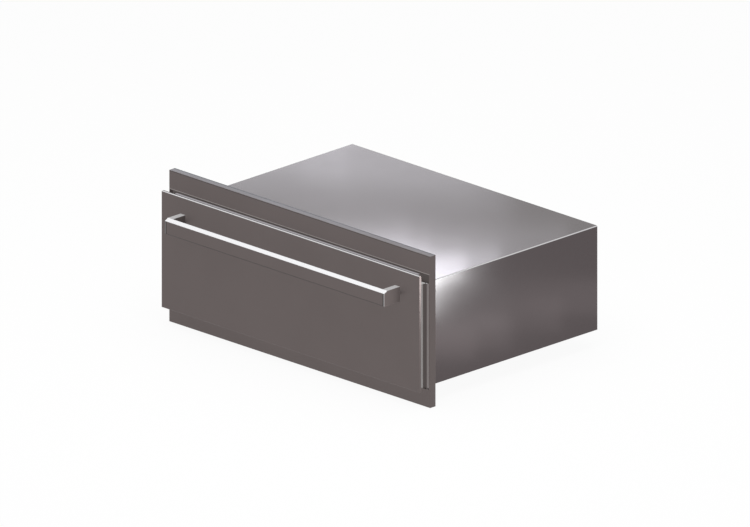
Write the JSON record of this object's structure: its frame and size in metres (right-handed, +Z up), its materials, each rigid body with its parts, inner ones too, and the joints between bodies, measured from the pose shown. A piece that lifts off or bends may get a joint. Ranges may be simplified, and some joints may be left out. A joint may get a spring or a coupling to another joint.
{
  "type": "built-in warming drawer",
  "caption": "Built-in warming drawer: flanged steel casing, insulated heated chamber and a deep drawer with a bar handle on ball-bearing slides.",
  "frame": {"origin": "centre of the casing's underside, where it rests on the floor of the cabinet cut-out", "axes": "+X to the right seen from the front, +Y to the back (the drawer opens towards -Y), +Z up"},
  "size_m": [0.762, 0.5985, 0.332],
  "materials": {
    "stainless": "brushed",
    "stainless_front": "brushed vertically, with rounded bright edges",
    "casing_steel": "fine grained, satin",
    "galvanised": "galvanised, satin",
    "zinc_plated": "zinc plated",
    "liner_steel": "satin",
    "fibre": "matt fibre",
    "board": "matt",
    "silicone": "matt silicone",
    "black_plastic": "matt",
    "knob_plastic": "satin black",
    "lamp_lens": "clear red lens",
    "element_sheath": "dark heat-tinted sheath",
    "ceramic": "glazed ceramic",
    "cage_steel": "bright",
    "cable_rubber": "matt",
    "nylon": "matt nylon"
  },
  "bodies": {
    "casing": {"trim_frame": "stainless_front", "header_cove": "stainless_front", "left_gutter": "stainless_front", "right_gutter": "stainless_front", "casing_wrap": "casing_steel", "base_pan": "galvanised", "rear_panel": "galvanised", "front_jamb": "stainless", "chamber_liner": "liner_steel", "insulation_top": "fibre", "insulation_left": "fibre", "insulation_right": "fibre", "insulation_rear": "fibre", "insulation_base": "fibre", "control_panel": "stainless", "control_cover": "liner_steel", "thermostat_body": "black_plastic", "switch_housing": "black_plastic", "pilot_lamp": "lamp_lens", "high_limit_cutout": "black_plastic", "sensor_bulb": "zinc_plated", "heating_element": "element_sheath", "element_bushings": "ceramic", "element_clips": "zinc_plated", "element_guard": "stainless", "cable_gland": "nylon", "terminal_block": "black_plastic", "wiring_loom": "cable_rubber", "left_slide_bracket": "galvanised", "right_slide_bracket": "galvanised", "left_slide_cabinet_member": "zinc_plated", "right_slide_cabinet_member": "zinc_plated", "rear_panel_screws": "zinc_plated", "control_panel_screws": "zinc_plated"},
    "drawer": {"front_panel": "stainless_front", "panel_core": "board", "panel_backing": "galvanised", "inner_front": "stainless", "front_insulation": "fibre", "door_gasket": "silicone", "handle": "stainless_front", "handle_screws": "zinc_plated", "left_side_rail": "stainless", "right_side_rail": "stainless", "front_cross_rail": "stainless", "rear_cross_rail": "stainless", "warming_pan": "stainless", "wire_rack": "stainless", "left_slide_drawer_member": "zinc_plated", "right_slide_drawer_member": "zinc_plated", "drawer_front_screws": "zinc_plated", "slide_screws": "zinc_plated"},
    "knob": {"thermostat_knob": "knob_plastic"},
    "rocker": {"power_rocker": "knob_plastic"},
    "left_middle": {"left_slide_middle_member": "zinc_plated"},
    "left_outer_cage": {"left_outer_ball_cage": "cage_steel"},
    "left_inner_cage": {"left_inner_ball_cage": "cage_steel"},
    "right_middle": {"right_slide_middle_member": "zinc_plated"},
    "right_outer_cage": {"right_outer_ball_cage": "cage_steel"},
    "right_inner_cage": {"right_inner_ball_cage": "cage_steel"}
  },
  "joints": [
    {"name": "drawer_slide", "type": "slide", "parent": "casing", "child": "drawer", "axis": [0, -1, 0], "range_m": [0, 0.43]},
    {"name": "left_middle_slide", "type": "slide", "parent": "casing", "child": "left_middle", "axis": [0, -1, 0], "range_m": [0, 0.215]},
    {"name": "left_outer_cage_slide", "type": "slide", "parent": "casing", "child": "left_outer_cage", "axis": [0, -1, 0], "range_m": [0, 0.1075]},
    {"name": "left_inner_cage_slide", "type": "slide", "parent": "casing", "child": "left_inner_cage", "axis": [0, -1, 0], "range_m": [0, 0.3225]},
    {"name": "right_middle_slide", "type": "slide", "parent": "casing", "child": "right_middle", "axis": [0, -1, 0], "range_m": [0, 0.215]},
    {"name": "right_outer_cage_slide", "type": "slide", "parent": "casing", "child": "right_outer_cage", "axis": [0, -1, 0], "range_m": [0, 0.1075]},
    {"name": "right_inner_cage_slide", "type": "slide", "parent": "casing", "child": "right_inner_cage", "axis": [0, -1, 0], "range_m": [0, 0.3225]},
    {"name": "thermostat_turn", "type": "hinge", "parent": "casing", "child": "knob", "pos_m": [0.29, -0.2565, 0.191], "axis": [0, 1, 0], "range_deg": [0, 270]},
    {"name": "rocker_tip", "type": "hinge", "parent": "casing", "child": "rocker", "pos_m": [0.19, -0.249, 0.191], "axis": [1, 0, 0], "range_deg": [-14, 0]}
  ],
  "couplings": [
    {"joint": "left_middle_slide", "follows": "drawer_slide", "ratio": 0.5},
    {"joint": "left_outer_cage_slide", "follows": "drawer_slide", "ratio": 0.25},
    {"joint": "left_inner_cage_slide", "follows": "drawer_slide", "ratio": 0.75},
    {"joint": "right_middle_slide", "follows": "drawer_slide", "ratio": 0.5},
    {"joint": "right_outer_cage_slide", "follows": "drawer_slide", "ratio": 0.25},
    {"joint": "right_inner_cage_slide", "follows": "drawer_slide", "ratio": 0.75}
  ]
}
